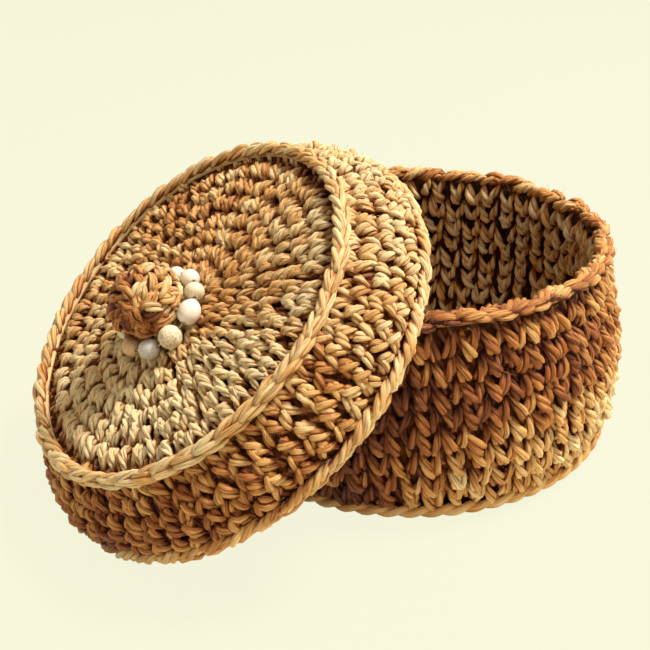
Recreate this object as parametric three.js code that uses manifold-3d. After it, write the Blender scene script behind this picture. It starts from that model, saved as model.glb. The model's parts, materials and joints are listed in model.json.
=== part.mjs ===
import * as THREE from 'three';
import { mergeVertices } from 'three/addons/utils/BufferGeometryUtils.js';
import Module from 'manifold-3d';

// A round lidded box crocheted from two-ply grass cord, with its lid off and leaning on the rim.
// Millimetres, +Z up. The origin is the centre of the box's underside, and the lid leans towards -X.

const wasm = await Module();
wasm.setup();

// Clearances
const SEAT_GAP = 0.3;
const TURN_GAP = 0.5;

// Box
const BOX_HEIGHT = 61.6;
const RIM_RADIUS = 62.5;
const RIM_BRAID_WIDTH = 4.8;
const RIM_BRAID_HEIGHT = 4.2;
const WALL_THICKNESS = 4.8;
const WALL_TOP_RADIUS = 61.8;
const WALL_BELLY_RADIUS = 66.8;
const WALL_BELLY_HEIGHT = 23;
const WALL_FOOT_RADIUS = 64.6;
const WALL_ROWS = 8;
const WALL_STITCHES = 54;
const WALL_GROOVE = 1.1;
const FOOT_LEDGE = 0.6;
const FOOT_ROPE_THICKNESS = 4;
const FOOT_ROPE_TURNS = 28;
const FLOOR_THICKNESS = 5;
const FLOOR_ROUNDS = 8;
const FLOOR_STITCHES = 36;
const FLOOR_GROOVE = 0.7;

// Lid
const LID_TILT = THREE.MathUtils.degToRad(39.4);
const LID_CORNER_RADIUS = 55.4;
const CORNER_BRAID_WIDTH = 4.4;
const CORNER_BRAID_HEIGHT = 4.2;
const LID_EDGE_RADIUS = 67;
const EDGE_BRAID_WIDTH = 3.9;
const EDGE_BRAID_HEIGHT = 4;
const LID_DEPTH = 21;
const LID_TOP_THICKNESS = 7;
const LID_TOP_RISE = 0.4;
const LID_ROUNDS = 9;
const LID_STITCHES = 46;
const LID_GROOVE = 0.8;
const SKIRT_THICKNESS = 4;
const SKIRT_BULGE = 1.5;
const SKIRT_ROWS = 4;
const SKIRT_STITCHES = 52;
const SKIRT_GROOVE = 1;

// Knob, its tie and the strand of beads round its foot
const KNOB_RADIUS = 10;
const KNOB_HEIGHT = 18;
const KNOB_SHELL = 2.6;
const KNOB_OFFSET = 5.6;
const KNOB_ROWS = 5;
const KNOB_STITCHES = 12;
const KNOB_GROOVE = 0.6;
const TIE_RADIUS = 1.7;
const TIE_KNOT_RADIUS = 4.6;
const TIE_KNOT_THICKNESS = 2.2;
const STRAND_RADIUS = 12.2;
const STRAND_CORD_RADIUS = 0.4;
const STRAND_STEPS = 40;
const BEAD_SEGMENTS = 8;
const STRAND_SIDES = 5;

// Each bead: its place round the knob in degrees from the uphill side, and its size as shares of a
// middling bead's thickness and length
const BEAD_THICKNESS = 5.7;
const BEAD_LENGTH = 5.8;
const BEAD_SHARES = [
  { turn: 28, thickness: 0.84, length: 0.83 },
  { turn: -4, thickness: 0.96, length: 0.9 },
  { turn: -33, thickness: 0.98, length: 0.9 },
  { turn: -65, thickness: 1.1, length: 1.28 },
  { turn: -105, thickness: 1.14, length: 1.14 },
  { turn: -140, thickness: 1.02, length: 1.02 },
  { turn: -178, thickness: 0.96, length: 0.97 },
  { turn: -216, thickness: 1, length: 1.03 },
  { turn: -255, thickness: 1.04, length: 1.07 },
  { turn: -294, thickness: 0.91, length: 0.93 },
];

// Finishes
const straw = new THREE.MeshStandardMaterial({ color: 0xcfa873, roughness: 0.85, metalness: 0 });
const amber = new THREE.MeshStandardMaterial({ color: 0xa8692f, roughness: 0.85, metalness: 0 });
const tan = new THREE.MeshStandardMaterial({ color: 0xb98a58, roughness: 0.85, metalness: 0 });
const shade = new THREE.MeshStandardMaterial({ color: 0x7d5230, roughness: 0.9, metalness: 0 });
const stuffing = new THREE.MeshStandardMaterial({ color: 0xd8cbb2, roughness: 0.95, metalness: 0 });
const thread = new THREE.MeshStandardMaterial({ color: 0xcdb58c, roughness: 0.8, metalness: 0 });
const seed = new THREE.MeshStandardMaterial({ color: 0xe6ddd0, roughness: 0.4, metalness: 0 });

const FULL_TURN = 2 * Math.PI;
const HALF_STITCH_SHARE = 0.5;
const ROUNDED_SHARE = 0.22;
const UP = new THREE.Vector3(0, 0, 1);
const DOWN = new THREE.Vector3(0, 0, -1);

// A closed skin from faces that index a list of points
function skin(points, faces) {
  const geometry = new THREE.BufferGeometry();
  geometry.setAttribute('position', new THREE.Float32BufferAttribute(points.flatMap((p) => [p.x, p.y, p.z]), 3));
  geometry.setIndex(faces.flat());
  return geometry;
}

// Turns an outline round Z, up on the outside and down on the inside. A first or last point on the axis
// is a pole, and without poles the outline closes on itself. Points marked crest are set half a stitch
// round, so the faces between a crest and its grooves slant both ways, as the legs of a stitch do.
function turned(outline, stitches) {
  const points = [];
  const starts = [];
  for (const { r, z, crest } of outline) {
    starts.push(points.length);
    if (r === 0) {
      points.push(new THREE.Vector3(0, 0, z));
      continue;
    }
    for (let i = 0; i < stitches; i++) {
      const angle = (FULL_TURN * (i + (crest ? HALF_STITCH_SHARE : 0))) / stitches;
      points.push(new THREE.Vector3(r * Math.cos(angle), r * Math.sin(angle), z));
    }
  }
  const faces = [];
  const closed = outline[0].r > 0;
  const bands = closed ? outline.length : outline.length - 1;
  for (let k = 0; k < bands; k++) {
    const next = (k + 1) % outline.length;
    const low = outline[k];
    const high = outline[next];
    for (let i = 0; i < stitches; i++) {
      const j = (i + 1) % stitches;
      const a = starts[k] + (low.r === 0 ? 0 : i);
      const b = starts[k] + (low.r === 0 ? 0 : j);
      const c = starts[next] + (high.r === 0 ? 0 : j);
      const d = starts[next] + (high.r === 0 ? 0 : i);
      if (low.r === 0) {
        faces.push([a, c, d]);
      } else if (high.r === 0) {
        faces.push([a, b, d]);
      } else if (low.crest && !high.crest) {
        faces.push([a, c, d], [a, b, c]);
      } else {
        faces.push([a, b, d], [b, c, d]);
      }
    }
  }
  return skin(points, faces);
}

// Joins rings of points, each the section at one step round a closed loop
function swept(rings) {
  const count = rings[0].length;
  const faces = [];
  rings.forEach((ring, i) => {
    const here = i * count;
    const ahead = ((i + 1) % rings.length) * count;
    for (let j = 0; j < count; j++) {
      const k = (j + 1) % count;
      faces.push([here + j, ahead + j, ahead + k], [here + j, ahead + k, here + k]);
    }
  });
  return skin(rings.flat(), faces);
}

function onCircle(radius, angle, height) {
  return new THREE.Vector3(radius * Math.cos(angle), radius * Math.sin(angle), height);
}

// A chain plait bent into a ring: two rows of loops side by side, with a groove between them.
// The sides run ahead of the middle, so the necks between loops form a row of Vs.
const PLAIT_STEPS = 2;
const PLAIT_NECK_SHARE = 0.72;
const PLAIT_LEAD_SHARE = 1;
const PLAIT_BOTTOM_SHARE = -0.5;
const PLAIT_SECTION_SHARES = [
  [0.5, 0.05],
  [0.3, 0.5],
  [0, 0.28],
  [-0.3, 0.5],
  [-0.5, 0.05],
  [0, PLAIT_BOTTOM_SHARE],
];

function plait(middleRadius, width, height, links) {
  const steps = links * PLAIT_STEPS;
  const rings = [];
  for (let i = 0; i < steps; i++) {
    const swell = i % PLAIT_STEPS === 0 ? 1 : PLAIT_NECK_SHARE;
    rings.push(PLAIT_SECTION_SHARES.map(([across, up]) => {
      const angle = (FULL_TURN * (i + Math.abs(across) * PLAIT_LEAD_SHARE * PLAIT_STEPS)) / steps;
      const upSwell = up === PLAIT_BOTTOM_SHARE ? 1 : swell;
      return onCircle(middleRadius + across * width * swell, angle, up * height * upSwell);
    }));
  }
  return swept(rings);
}

// A rope of two plies: an oval section that turns over as it goes round
const ROPE_STEPS = 5;
const ROPE_WAIST_SHARE = 0.68;
const ROPE_SIDES = 6;

function rope(middleRadius, thickness, turns) {
  const steps = turns * ROPE_STEPS;
  const rings = [];
  for (let i = 0; i < steps; i++) {
    const lay = (FULL_TURN * i * turns) / steps;
    const ring = [];
    for (let j = 0; j < ROPE_SIDES; j++) {
      const side = (FULL_TURN * j) / ROPE_SIDES;
      const along = (Math.cos(side) * thickness) / 2;
      const across = (Math.sin(side) * thickness * ROPE_WAIST_SHARE) / 2;
      const out = along * Math.cos(lay) - across * Math.sin(lay);
      const up = along * Math.sin(lay) + across * Math.cos(lay);
      ring.push(onCircle(middleRadius + out, (FULL_TURN * i) / steps, up));
    }
    rings.push(ring);
  }
  return swept(rings);
}

// The points of a worked face: a groove, then a crest for each row, along a curve from t = 0 to t = 1
function rows(count, groove, surfaceAt) {
  const outline = [];
  for (let k = 0; k <= 2 * count; k++) {
    const crest = k % 2 === 1;
    const { at, inward } = surfaceAt(k / (2 * count));
    const depth = crest ? 0 : groove;
    outline.push({ r: at.x + inward.x * depth, z: at.y + inward.y * depth, crest });
  }
  return outline;
}

function curveSurface(curve) {
  return (t) => {
    const at = curve.getPoint(t);
    const along = curve.getTangent(t);
    return { at, inward: new THREE.Vector2(-along.y, along.x) };
  };
}

// A worked face whose two ends are cut level, where it meets its neighbours
function levelled(face, bottom, top) {
  face[0].z = bottom;
  face[face.length - 1].z = top;
  return face;
}

// The inside of a wall, from top to bottom: the outside moved in by the wall's thickness
function inner(outside, thickness, steps) {
  const lining = [];
  for (let k = steps; k >= 0; k--) {
    const at = outside.getPoint(k / steps);
    lining.push({ r: at.x - thickness, z: at.y });
  }
  return lining;
}

function named(name, geometry, material) {
  const mesh = new THREE.Mesh(geometry, material);
  mesh.name = name;
  return mesh;
}

// How far a mesh reaches along a direction, measured in the world
function reach(mesh, direction) {
  mesh.updateWorldMatrix(true, false);
  const place = mesh.geometry.getAttribute('position');
  const point = new THREE.Vector3();
  let far = -Infinity;
  for (let i = 0; i < place.count; i++) {
    point.fromBufferAttribute(place, i).applyMatrix4(mesh.matrixWorld);
    far = Math.max(far, point.dot(direction));
  }
  return far;
}

function toSolid(geometry) {
  const bare = geometry.index ? geometry.toNonIndexed() : geometry.clone();
  bare.deleteAttribute('normal');
  bare.deleteAttribute('uv');
  const merged = mergeVertices(bare);
  const mesh = new wasm.Mesh({
    numProp: 3,
    vertProperties: new Float32Array(merged.getAttribute('position').array),
    triVerts: new Uint32Array(merged.index.array),
  });
  return new wasm.Manifold(mesh);
}

function toGeometry(solid) {
  const { vertProperties, triVerts } = solid.getMesh();
  const geometry = new THREE.BufferGeometry();
  geometry.setAttribute('position', new THREE.BufferAttribute(new Float32Array(vertProperties), 3));
  geometry.setIndex(new THREE.BufferAttribute(new Uint32Array(triVerts), 1));
  return geometry;
}

// Foot rope: it lies on the ground round the floor, and stands out a little past the wall above it
const footRopeMiddle = WALL_FOOT_RADIUS + FOOT_LEDGE - FOOT_ROPE_THICKNESS / 2;
const footRope = named('foot_rope', rope(footRopeMiddle, FOOT_ROPE_THICKNESS, FOOT_ROPE_TURNS), tan);
footRope.position.z = reach(footRope, DOWN);

// Floor: rounds of stitches inside, flat underneath, inside the foot rope
const floorRadius = footRopeMiddle - FOOT_ROPE_THICKNESS / 2 - SEAT_GAP;

function boxFloor() {
  const edge = FLOOR_THICKNESS * ROUNDED_SHARE;
  const inside = new THREE.LineCurve(
    new THREE.Vector2(floorRadius - edge, FLOOR_THICKNESS),
    new THREE.Vector2(floorRadius / FLOOR_ROUNDS / 2, FLOOR_THICKNESS),
  );
  return turned([
    { r: 0, z: 0 },
    { r: floorRadius - edge, z: 0 },
    { r: floorRadius, z: edge },
    { r: floorRadius, z: FLOOR_THICKNESS - FLOOR_GROOVE - edge },
    ...rows(FLOOR_ROUNDS, FLOOR_GROOVE, curveSurface(inside)),
    { r: 0, z: FLOOR_THICKNESS - FLOOR_GROOVE },
  ], FLOOR_STITCHES);
}

// Wall: rows of stitches that belly out below the middle. It stands on the floor's edge, and its
// outside comes down over the foot rope.
const wallTop = BOX_HEIGHT - RIM_BRAID_HEIGHT - SEAT_GAP;

function boxWall() {
  const bottom = reach(footRope, UP) + SEAT_GAP;
  const outside = new THREE.SplineCurve([
    new THREE.Vector2(WALL_FOOT_RADIUS, bottom),
    new THREE.Vector2(WALL_BELLY_RADIUS, WALL_BELLY_HEIGHT),
    new THREE.Vector2((WALL_BELLY_RADIUS + WALL_TOP_RADIUS) / 2, (WALL_BELLY_HEIGHT + wallTop) / 2),
    new THREE.Vector2(WALL_TOP_RADIUS, wallTop),
  ]);
  const face = levelled(rows(WALL_ROWS, WALL_GROOVE, curveSurface(outside)), bottom, wallTop);
  const lining = inner(outside, WALL_THICKNESS, WALL_ROWS / 2);
  lining[lining.length - 1].z = FLOOR_THICKNESS + SEAT_GAP;
  return turned([...face, ...lining], WALL_STITCHES);
}

// Rim plait: it caps the wall
const rimBraid = named(
  'rim_braid',
  plait(RIM_RADIUS - RIM_BRAID_WIDTH / 2, RIM_BRAID_WIDTH, RIM_BRAID_HEIGHT, WALL_STITCHES),
  tan,
);
rimBraid.position.z = BOX_HEIGHT - RIM_BRAID_HEIGHT / 2;

const box = new THREE.Group();
box.add(named('box_floor', boxFloor(), shade), footRope, named('box_wall', boxWall(), amber), rimBraid);

// Lid, in its own frame: the origin is the centre of the corner plait, and +Z points out of the top
const lid = new THREE.Group();
const cornerMiddle = LID_CORNER_RADIUS - CORNER_BRAID_WIDTH / 2;
const cornerPlait = plait(cornerMiddle, CORNER_BRAID_WIDTH, CORNER_BRAID_HEIGHT, SKIRT_STITCHES);

// Lid top: rounds of stitches inside the corner plait, with the hole that the knob's tie goes through.
// Its shoulder runs under the plait and meets the skirt.
const topRadius = cornerMiddle - CORNER_BRAID_WIDTH / 2 - SEAT_GAP;
const topUnderside = LID_TOP_RISE - LID_TOP_THICKNESS;
const skirtTop = -CORNER_BRAID_HEIGHT / 2 - SEAT_GAP;
const skirtTopRadius = LID_CORNER_RADIUS + SKIRT_GROOVE;
const shoulderRadius = skirtTopRadius - SKIRT_THICKNESS - SEAT_GAP;
const tieHoleRadius = TIE_RADIUS + SEAT_GAP;

function lidTop() {
  const edge = LID_TOP_THICKNESS * ROUNDED_SHARE;
  const face = new THREE.LineCurve(
    new THREE.Vector2(topRadius - edge, LID_TOP_RISE),
    new THREE.Vector2(topRadius / LID_ROUNDS / 2, LID_TOP_RISE),
  );
  const disc = turned([
    { r: 0, z: topUnderside },
    { r: shoulderRadius - edge, z: topUnderside },
    { r: shoulderRadius, z: topUnderside + edge },
    { r: shoulderRadius, z: skirtTop },
    { r: topRadius, z: LID_TOP_RISE - LID_GROOVE - edge },
    ...rows(LID_ROUNDS, LID_GROOVE, curveSurface(face)),
    { r: 0, z: LID_TOP_RISE - LID_GROOVE },
  ], LID_STITCHES);
  const drill = new THREE.CylinderGeometry(tieHoleRadius, tieHoleRadius, 2 * LID_TOP_THICKNESS, KNOB_STITCHES);
  drill.rotateX(Math.PI / 2);
  drill.translate(-KNOB_OFFSET, 0, topUnderside);
  return toGeometry(toSolid(disc).subtract(toSolid(drill)));
}

// Skirt: rows of stitches that flare from the corner plait down to the edge plait
const edgeTop = EDGE_BRAID_HEIGHT - LID_DEPTH;

function lidSkirt() {
  const bottom = edgeTop + SEAT_GAP;
  const outside = new THREE.SplineCurve([
    new THREE.Vector2(LID_EDGE_RADIUS, bottom),
    new THREE.Vector2((LID_CORNER_RADIUS + LID_EDGE_RADIUS) / 2 + SKIRT_BULGE, (skirtTop + bottom) / 2),
    new THREE.Vector2(skirtTopRadius, skirtTop),
  ]);
  const face = levelled(rows(SKIRT_ROWS, SKIRT_GROOVE, curveSurface(outside)), bottom, skirtTop);
  return turned([...face, ...inner(outside, SKIRT_THICKNESS, SKIRT_ROWS / 2)], SKIRT_STITCHES);
}

// Edge plait: the same plait with its loops facing down
const edgeMiddle = LID_EDGE_RADIUS - EDGE_BRAID_WIDTH / 2;
const edgePlait = plait(edgeMiddle, EDGE_BRAID_WIDTH, EDGE_BRAID_HEIGHT, SKIRT_STITCHES);
const edgeBraid = named('edge_braid', edgePlait, tan);
edgeBraid.rotation.x = Math.PI;
edgeBraid.position.z = edgeTop - EDGE_BRAID_HEIGHT / 2;

lid.add(
  named('corner_braid', cornerPlait, straw),
  named('lid_top', lidTop(), straw),
  named('lid_skirt', lidSkirt(), amber),
  edgeBraid,
);

// Knob: a crocheted ball over a stuffing, standing on the lid top, open at its foot for the tie
const knob = new THREE.Group();
knob.position.set(-KNOB_OFFSET, 0, LID_TOP_RISE);
lid.add(knob);
const knobMiddle = SEAT_GAP + KNOB_HEIGHT / 2;

function knobCover() {
  const outerStart = -Math.acos(tieHoleRadius / KNOB_RADIUS);
  const face = rows(KNOB_ROWS, KNOB_GROOVE, (t) => {
    const lean = THREE.MathUtils.lerp(outerStart, Math.PI / 2, t);
    const outward = new THREE.Vector2(Math.cos(lean), Math.sin(lean));
    const at = new THREE.Vector2(KNOB_RADIUS * outward.x, knobMiddle + (KNOB_HEIGHT / 2) * outward.y);
    return { at, inward: outward.negate() };
  });
  face[0].r = tieHoleRadius;
  face[face.length - 1].r = 0;
  const innerRadius = KNOB_RADIUS - KNOB_SHELL;
  const innerStart = -Math.acos(tieHoleRadius / innerRadius);
  const lining = [];
  for (let k = 0; k <= KNOB_ROWS; k++) {
    const lean = THREE.MathUtils.lerp(Math.PI / 2, innerStart, k / KNOB_ROWS);
    const r = k === 0 ? 0 : innerRadius * Math.cos(lean);
    lining.push({ r, z: knobMiddle + (KNOB_HEIGHT / 2 - KNOB_SHELL) * Math.sin(lean) });
  }
  return turned([...lining, ...face], KNOB_STITCHES);
}

function knobStuffing() {
  const outline = [];
  for (let k = 0; k <= KNOB_ROWS; k++) {
    const lean = THREE.MathUtils.lerp(-Math.PI / 2, Math.PI / 2, k / KNOB_ROWS);
    const r = k % KNOB_ROWS === 0 ? 0 : (KNOB_RADIUS - KNOB_SHELL - SEAT_GAP) * Math.cos(lean);
    outline.push({ r, z: knobMiddle + (KNOB_HEIGHT / 2 - KNOB_SHELL - SEAT_GAP) * Math.sin(lean) });
  }
  return turned(outline, KNOB_STITCHES);
}

// Tie: the cord ends that hold the knob, through the lid top to a flat knot under it
function knobTie() {
  const knotTop = -LID_TOP_THICKNESS - SEAT_GAP;
  const postTop = KNOB_SHELL;
  return turned([
    { r: 0, z: knotTop - TIE_KNOT_THICKNESS },
    { r: TIE_KNOT_RADIUS - TIE_KNOT_THICKNESS / 2, z: knotTop - TIE_KNOT_THICKNESS },
    { r: TIE_KNOT_RADIUS, z: knotTop - TIE_KNOT_THICKNESS / 2 },
    { r: TIE_KNOT_RADIUS - TIE_KNOT_THICKNESS / 2, z: knotTop },
    { r: TIE_RADIUS, z: knotTop },
    { r: TIE_RADIUS, z: postTop },
    { r: 0, z: postTop },
  ], KNOB_STITCHES);
}

knob.add(
  named('knob_cover', knobCover(), tan),
  named('knob_stuffing', knobStuffing(), stuffing),
  named('knob_tie', knobTie(), straw),
);

// Strand: seed beads on a cord looped round the foot of the knob, just clear of the lid top
const strand = new THREE.Group();
const widestShare = Math.max(...BEAD_SHARES.map((share) => share.thickness));
strand.position.z = TURN_GAP + (BEAD_THICKNESS * widestShare) / 2;
knob.add(strand);

function strandCord() {
  const rings = [];
  for (let i = 0; i < STRAND_STEPS; i++) {
    const ring = [];
    for (let j = 0; j < STRAND_SIDES; j++) {
      const side = (FULL_TURN * j) / STRAND_SIDES;
      const radius = STRAND_RADIUS + STRAND_CORD_RADIUS * Math.cos(side);
      ring.push(onCircle(radius, (FULL_TURN * i) / STRAND_STEPS, STRAND_CORD_RADIUS * Math.sin(side)));
    }
    rings.push(ring);
  }
  return swept(rings);
}
strand.add(named('strand_cord', strandCord(), thread));

// A teardrop seed: shares of its length and of its half thickness, from the blunt end to the tip
const BEAD_OUTLINE_SHARES = [
  [-0.38, 0.7],
  [-0.1, 1],
  [0.18, 0.88],
  [0.4, 0.52],
];

function bead(share) {
  const thickness = BEAD_THICKNESS * share.thickness;
  const length = BEAD_LENGTH * share.length;
  // The hole is straight and the cord is bent, so the hole has room for the bend
  const bend = length ** 2 / (8 * STRAND_RADIUS);
  const hole = STRAND_CORD_RADIUS + SEAT_GAP + bend;
  return turned([
    { r: hole, z: -length / 2 },
    ...BEAD_OUTLINE_SHARES.map(([along, out]) => ({ r: (thickness / 2) * out, z: length * along })),
    { r: hole, z: length / 2 },
  ], BEAD_SEGMENTS);
}

BEAD_SHARES.forEach((share, i) => {
  const mesh = named(`bead_${i + 1}`, bead(share), seed);
  const turn = THREE.MathUtils.degToRad(share.turn);
  mesh.position.copy(onCircle(STRAND_RADIUS, turn, 0));
  mesh.quaternion.setFromUnitVectors(UP, new THREE.Vector3(-Math.sin(turn), Math.cos(turn), 0));
  strand.add(mesh);
});

// The lid leans: its edge plait stands on the ground, and the flat underside of its top rests on the rim
lid.rotation.y = -LID_TILT;
const lidAxis = UP.clone().applyEuler(lid.rotation);
lid.position.z = reach(edgeBraid, DOWN);
const restHeight = reach(rimBraid, lidAxis) + SEAT_GAP - topUnderside;
lid.position.x = (restHeight - lid.position.z * lidAxis.z) / lidAxis.x;

const lidded_box = new THREE.Group();
lidded_box.add(box, lid);

export default lidded_box;
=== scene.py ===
import json
import math
from collections import namedtuple

import bmesh
import bpy
import numpy as np
from mathutils import Matrix, Vector


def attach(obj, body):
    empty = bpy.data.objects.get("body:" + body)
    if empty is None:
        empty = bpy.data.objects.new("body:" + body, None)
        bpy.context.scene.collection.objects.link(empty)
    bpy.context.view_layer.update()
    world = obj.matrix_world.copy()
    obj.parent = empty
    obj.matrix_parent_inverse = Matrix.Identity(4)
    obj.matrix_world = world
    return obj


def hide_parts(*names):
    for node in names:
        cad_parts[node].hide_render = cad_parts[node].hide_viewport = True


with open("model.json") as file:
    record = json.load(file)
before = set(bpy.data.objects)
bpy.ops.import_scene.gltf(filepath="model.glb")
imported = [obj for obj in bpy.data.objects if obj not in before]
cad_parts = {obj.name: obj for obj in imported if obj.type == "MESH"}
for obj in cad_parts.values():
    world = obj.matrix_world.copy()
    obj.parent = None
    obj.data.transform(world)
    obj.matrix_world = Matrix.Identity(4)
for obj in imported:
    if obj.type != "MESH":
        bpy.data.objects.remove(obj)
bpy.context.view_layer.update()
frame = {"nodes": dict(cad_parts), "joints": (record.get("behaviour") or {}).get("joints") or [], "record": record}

# A crocheted box with its lid leaning on the rim. Every stitch is laid as real cord: two or three plies
# twisted round the path of each leg, over a bed of fibre painted dark as the shade between the stitches.
# Lengths are in metres. A dye's tone runs from 0, the palest straw, to 1, the darkest brown, and a place
# round the work is given in turns.

MM = 0.001
FULL_TURN = 2 * math.pi
SEED = 7
random_draw = np.random.default_rng(SEED)

# Camera
PHOTO_PIXELS = 650
FOCAL_PIXELS = 1000
SENSOR_WIDTH = 36
CAMERA_DISTANCE = 326.6 * MM
CAMERA_ELEVATION = math.radians(26.53)
CAMERA_AZIMUTH = math.radians(-126.28)
AIM_PIXEL_X = 405.6
AIM_PIXEL_Y = 319.7
CLIP_START = 10 * MM

# Cord: its thickness, how far it runs in one turn of its twist, and its plies
Cord = namedtuple("Cord", "thickness lay plies")
WALL_CORD = Cord(2.9 * MM, 18 * MM, 3)
LINING_CORD = Cord(2.7 * MM, 10 * MM, 2)
FLOOR_CORD = Cord(2.4 * MM, 12 * MM, 2)
LID_CORD = Cord(2.3 * MM, 9 * MM, 3)
THIN_CORD = Cord(2.1 * MM, 11 * MM, 2)
SKIRT_CORD = Cord(2.6 * MM, 14 * MM, 3)
RIM_CORD = Cord(3.0 * MM, 12 * MM, 3)
CORNER_CORD = Cord(2.4 * MM, 30 * MM, 3)
EDGE_CORD = Cord(2.7 * MM, 13 * MM, 3)
KNOB_CORD = Cord(2.3 * MM, 30 * MM, 3)
TIE_CORD = Cord(2.0 * MM, 7 * MM, 2)

# By the number of plies: a ply's radius and how far it lies from the cord's middle, in cord thicknesses
PLY_SHARES = {2: (0.3, 0.22), 3: (0.26, 0.27)}

# How finely a strand's section is rounded, how much of a run is cut off at its corners, over how much of an
# outline its slope is taken, and how near to each other corners are welded
FINE_RESOLUTION = 2
PLAIN_RESOLUTION = 1
CUT_SHARE = 0.25
NUDGE_SHARE = 0.001
WELD = 1e-7

# How deep a point of a strand lies in the work, which paints shade on it, darker in the deep parts and creases: 0
# at the bottom and 1 at the top
LEVEL_RISE = 1.35
LEVEL_SLOPE = 0.75
GROUND_SHARE = 0.16
PLAIT_GROUND_SHARE = 0.32
CREASE_START_SHARE = 0.16
CREASE_REACH_SHARE = 0.22
CREASE_LEVEL_SHARE = 0.3
CORE_LEVEL = 0.7
ROPE_LEVEL = 0.8

# Stitches, counted on the object
WALL_ROWS = 8
WALL_STITCHES = 60
LINING_STITCHES = 54
RIM_LINKS = 54
FLOOR_ROUNDS = 8
FLOOR_STITCHES = 48
LID_ROUNDS = 9
LID_TOP_STITCHES = 60
LID_LINKS = 52
SKIRT_ROWS = 5
SKIRT_STITCHES = 62
SKIRT_LINING_STITCHES = 52
KNOB_ROUNDS = ((0.07, 5), (0.17, 8), (0.29, 11), (0.42, 12), (0.55, 12), (0.68, 10), (0.81, 7))
KNOB_ROUND_STEP = 0.14
ROW_SLANT_SHARE = 0.08

# How stitches vary by hand: how far they slip, in stitches and rows, their size and the lay of their cord
SLIP_SHARE = 0.06
CLOSE_SLIP_SHARE = 0.03
WALL_SLIP_SHARE = 0.115
LINING_SLIP_SHARE = 0.1
LID_SLIP_SHARE = 0.12
SKIRT_SLIP_SHARE = 0.11
RIM_SLIP_SHARE = 0.14
PLAIT_SLIP_SHARE = 0.05
KNOB_SLIP_SHARE = 0.12
SIZE_SPREAD_SHARE = 0.09
LAY_SPREAD_SHARE = 0.3
TWIST_STARTS = (-0.8, 0.5)
DYE_SPREAD = 0.07

# Ropes of two plies, and the cores of the plaits
FOOT_ROPE_TURNS = 32
THREAD_TURNS = 60
ROPE_PLIES = 2
ROPE_STEPS = 10
ROPE_PLY_SHARE = 0.29
ROPE_OFFSET_SHARE = 0.23
CORE_STEPS = 4

# The bed of fibre in the work, from before its first row to past its last
BED_STEPS = 108
BED_LEVELS = 9
BED_DEPTH = 1.2 * MM
BED_HALF = 0.25 * MM
BED_SHARES = (-0.09, 1.04)
SKIRT_BED_SHARES = (-0.14, 1.1)
GROUND_LEVEL = 0.02 * MM

# Loose fibres: their form, and for each piece how many there are and their tone
FUZZ_RADIUS = 0.08 * MM
FUZZ_LENGTH = 3.5 * MM
FUZZ_POINTS = 5
FUZZ_LENGTH_SHARES = (0.4, 1)
FUZZ_LIFT_SHARE = 0.5
FUZZ_CURL_SHARE = 0.4
FUZZ_DYE_SPREAD = 0.1
WALL_FUZZ = (260, 0.3)
RIM_FUZZ = (140, 0.25)
LID_FUZZ = (220, 0.15)
SKIRT_FUZZ = (120, 0.25)
KNOB_FUZZ = (50, 0.2)


class Signal:
    """The output of a shader node, with the sums that the finishes use."""

    def __init__(self, finish, socket):
        self.finish = finish
        self.socket = socket

    def sum(self, operation, first, second):
        return self.finish.node("ShaderNodeMath", {"operation": operation}, {0: first, 1: second})

    def __add__(self, other):
        return self.sum("ADD", self, other)

    def __radd__(self, other):
        return self.sum("ADD", other, self)

    def __sub__(self, other):
        return self.sum("SUBTRACT", self, other)

    def __rsub__(self, other):
        return self.sum("SUBTRACT", other, self)

    def __mul__(self, other):
        return self.sum("MULTIPLY", self, other)

    def __rmul__(self, other):
        return self.sum("MULTIPLY", other, self)


class Finish:
    """A material and the one way that its nodes are made."""

    def __init__(self, name):
        self.material = bpy.data.materials.new(name)
        self.material.use_nodes = True
        self.nodes = self.material.node_tree.nodes
        self.links = self.material.node_tree.links
        self.shader = self.nodes["Principled BSDF"]
        self.surface = self.nodes["Material Output"].inputs["Surface"]

    @classmethod
    def over(cls, tree):
        """The same tools over a tree that is already there."""
        finish = cls.__new__(cls)
        finish.nodes = tree.nodes
        finish.links = tree.links
        return finish

    def node(self, kind, settings, inputs, output=0):
        node = self.nodes.new(kind)
        stops = settings.pop("stops", None)
        for name, value in settings.items():
            setattr(node, name, value)
        if stops:
            self.fill_ramp(node.color_ramp, stops)
        for name, value in inputs.items():
            self.feed(node.inputs[name], value)
        return Signal(self, node.outputs[output])

    def fill_ramp(self, ramp, stops):
        while len(ramp.elements) < len(stops):
            ramp.elements.new(1)
        for element, (place, code) in zip(ramp.elements, stops):
            element.position = place
            element.color = colour(code)

    def feed(self, socket, value):
        if isinstance(value, Signal):
            self.links.new(value.socket, socket)
        else:
            socket.default_value = value

    def attribute(self, name):
        return self.node("ShaderNodeAttribute", {"attribute_name": name}, {}, "Fac")

    def ramp(self, factor, stops):
        return self.node("ShaderNodeValToRGB", {"stops": stops}, {"Fac": factor})

    def noise(self, vector, scale, detail):
        inputs = {"Vector": vector, "Scale": scale, "Detail": detail}
        return self.node("ShaderNodeTexNoise", {}, inputs)

    def stretched(self, vector, scales):
        return self.node("ShaderNodeMapping", {}, {"Vector": vector, "Scale": scales})

    def mixed(self, blend, factor, first, second):
        """Two colours mixed. The node takes colours at inputs 6 and 7, and gives one at output 2."""
        settings = {"data_type": "RGBA", "blend_type": blend}
        return self.node("ShaderNodeMix", settings, {0: factor, 6: first, 7: second}, 2)

    def bump(self, height, strength, distance):
        inputs = {"Height": height, "Strength": strength, "Distance": distance}
        self.feed(self.shader.inputs["Normal"], self.node("ShaderNodeBump", {}, inputs))


def colour(code):
    """A colour written as its screen value, such as c8a070, as the shader's linear values."""
    shares = [int(code[i:i + 2], 16) / 255 for i in (0, 2, 4)]
    linear = [((s + 0.055) / 1.055) ** 2.4 if s > 0.04045 else s / 12.92 for s in shares]
    return (*linear, 1)


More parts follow.
